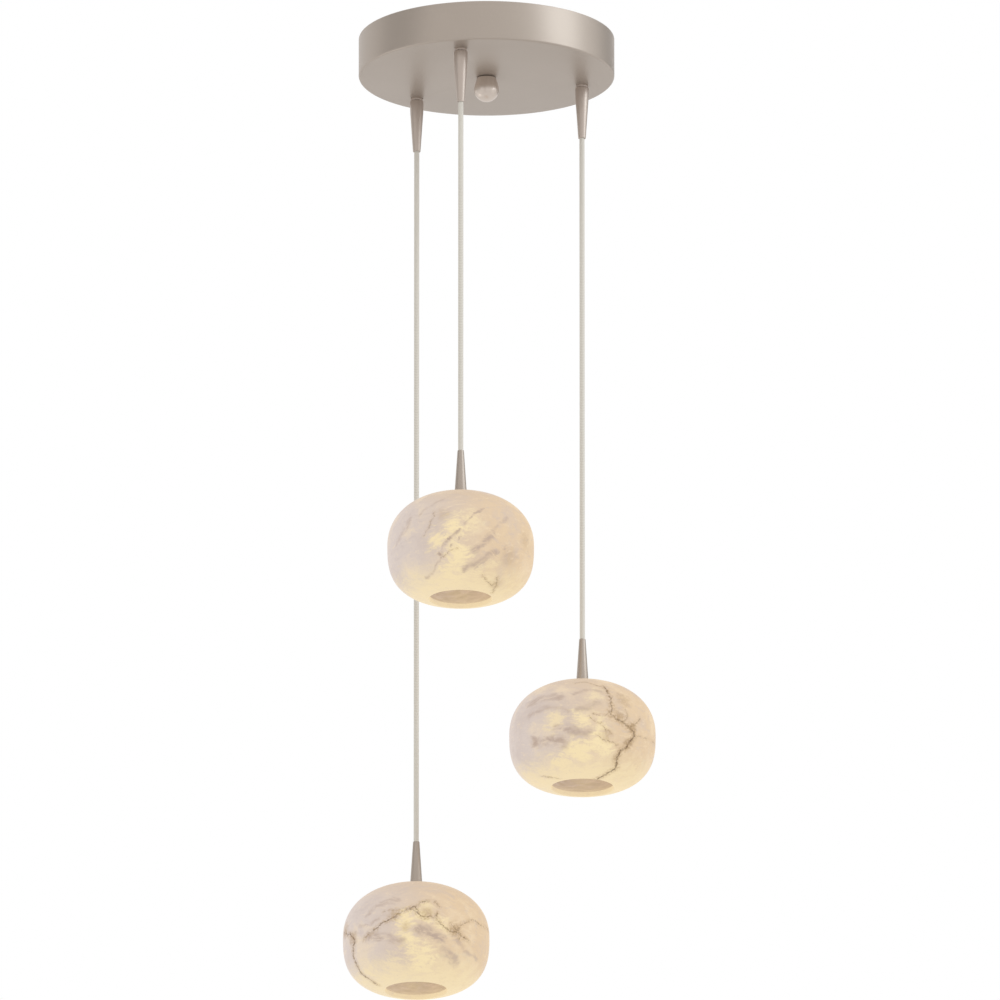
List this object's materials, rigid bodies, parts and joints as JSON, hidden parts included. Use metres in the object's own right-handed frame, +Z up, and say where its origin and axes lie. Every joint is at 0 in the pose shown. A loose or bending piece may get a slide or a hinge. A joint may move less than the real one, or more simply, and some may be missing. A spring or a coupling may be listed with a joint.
{
  "type": "cluster pendant light",
  "caption": "Cluster pendant: round satin metal canopy, fabric cords at staggered heights with slim cones, and squashed-ball alabaster shades open at the bottom.",
  "frame": {"origin": "centre of the ceiling plane, at the middle of the mounting bar and of the canopy's rim", "axes": "+Z up, out of the ceiling face; the shades hang along -Z; the picture is taken from -Y, looking up"},
  "size_m": [0.365, 0.365, 1.1379],
  "materials": {
    "satin_nickel": "satin, champagne tint",
    "zinc_steel": "zinc plated",
    "green_steel": "dyed green",
    "dark_felt": "felt",
    "white_nylon": "moulded nylon",
    "cord_fabric": "woven cover",
    "clear_silicone": "silicone",
    "alabaster": "honed, glows when lit",
    "white_ceramic": "unglazed",
    "frosted_lamp": "frosted, lit"
  },
  "bodies": {
    "canopy": {"canopy_pan": "satin_nickel", "mounting_bar": "zinc_steel", "centre_stud": "zinc_steel", "stud_lock_nut": "zinc_steel", "ball_nut": "satin_nickel", "ball_washer": "dark_felt", "ground_screw": "green_steel", "bush_nuts": "zinc_steel", "bush_washers": "zinc_steel", "cone_collar_long": "satin_nickel", "upper_cone_long": "satin_nickel", "cord_bush_long": "zinc_steel", "cord_clamp_long": "white_nylon", "cord_tail_long": "cord_fabric", "lead_connector_long": "white_nylon", "cone_collar_short": "satin_nickel", "upper_cone_short": "satin_nickel", "cord_bush_short": "zinc_steel", "cord_clamp_short": "white_nylon", "cord_tail_short": "cord_fabric", "lead_connector_short": "white_nylon", "cone_collar_middle": "satin_nickel", "upper_cone_middle": "satin_nickel", "cord_bush_middle": "zinc_steel", "cord_clamp_middle": "white_nylon", "cord_tail_middle": "cord_fabric", "lead_connector_middle": "white_nylon"},
    "cord_long": {"cord_long": "cord_fabric"},
    "shade_long": {"lower_cone_long": "satin_nickel", "seat_washer_long": "clear_silicone", "shade_nipple_long": "zinc_steel", "shade_long": "alabaster", "inner_washer_long": "clear_silicone", "shade_nut_long": "zinc_steel", "lampholder_long": "white_ceramic"},
    "bulb_long": {"bulb_base_long": "white_ceramic", "bulb_cover_long": "frosted_lamp"},
    "cord_short": {"cord_short": "cord_fabric"},
    "shade_short": {"lower_cone_short": "satin_nickel", "seat_washer_short": "clear_silicone", "shade_nipple_short": "zinc_steel", "shade_short": "alabaster", "inner_washer_short": "clear_silicone", "shade_nut_short": "zinc_steel", "lampholder_short": "white_ceramic"},
    "bulb_short": {"bulb_base_short": "white_ceramic", "bulb_cover_short": "frosted_lamp"},
    "cord_middle": {"cord_middle": "cord_fabric"},
    "shade_middle": {"lower_cone_middle": "satin_nickel", "seat_washer_middle": "clear_silicone", "shade_nipple_middle": "zinc_steel", "shade_middle": "alabaster", "inner_washer_middle": "clear_silicone", "shade_nut_middle": "zinc_steel", "lampholder_middle": "white_ceramic"},
    "bulb_middle": {"bulb_base_middle": "white_ceramic", "bulb_cover_middle": "frosted_lamp"}
  },
  "joints": [
    {"name": "swing_long", "type": "hinge", "parent": "canopy", "child": "cord_long", "pos_m": [-0.08202, 0.08202, -0.1123], "axis": [0, 1, 0], "range_deg": [-8, 8]},
    {"name": "twist_long", "type": "hinge", "parent": "cord_long", "child": "shade_long", "pos_m": [-0.08202, 0.08202, -0.9571], "axis": [0, 0, 1], "range_deg": [-180, 180]},
    {"name": "bulb_pull_long", "type": "slide", "parent": "shade_long", "child": "bulb_long", "axis": [0, 0, -1], "range_m": [0, 0.018]},
    {"name": "swing_short", "type": "hinge", "parent": "canopy", "child": "cord_short", "pos_m": [-0.03002, -0.11205, -0.1123], "axis": [0, 1, 0], "range_deg": [-8, 8]},
    {"name": "twist_short", "type": "hinge", "parent": "cord_short", "child": "shade_short", "pos_m": [-0.03002, -0.11205, -0.5385], "axis": [0, 0, 1], "range_deg": [-180, 180]},
    {"name": "bulb_pull_short", "type": "slide", "parent": "shade_short", "child": "bulb_short", "axis": [0, 0, -1], "range_m": [0, 0.018]},
    {"name": "swing_middle", "type": "hinge", "parent": "canopy", "child": "cord_middle", "pos_m": [0.11205, 0.03002, -0.1123], "axis": [0, 1, 0], "range_deg": [-8, 8]},
    {"name": "twist_middle", "type": "hinge", "parent": "cord_middle", "child": "shade_middle", "pos_m": [0.11205, 0.03002, -0.7257], "axis": [0, 0, 1], "range_deg": [-180, 180]},
    {"name": "bulb_pull_middle", "type": "slide", "parent": "shade_middle", "child": "bulb_middle", "axis": [0, 0, -1], "range_m": [0, 0.018]}
  ]
}
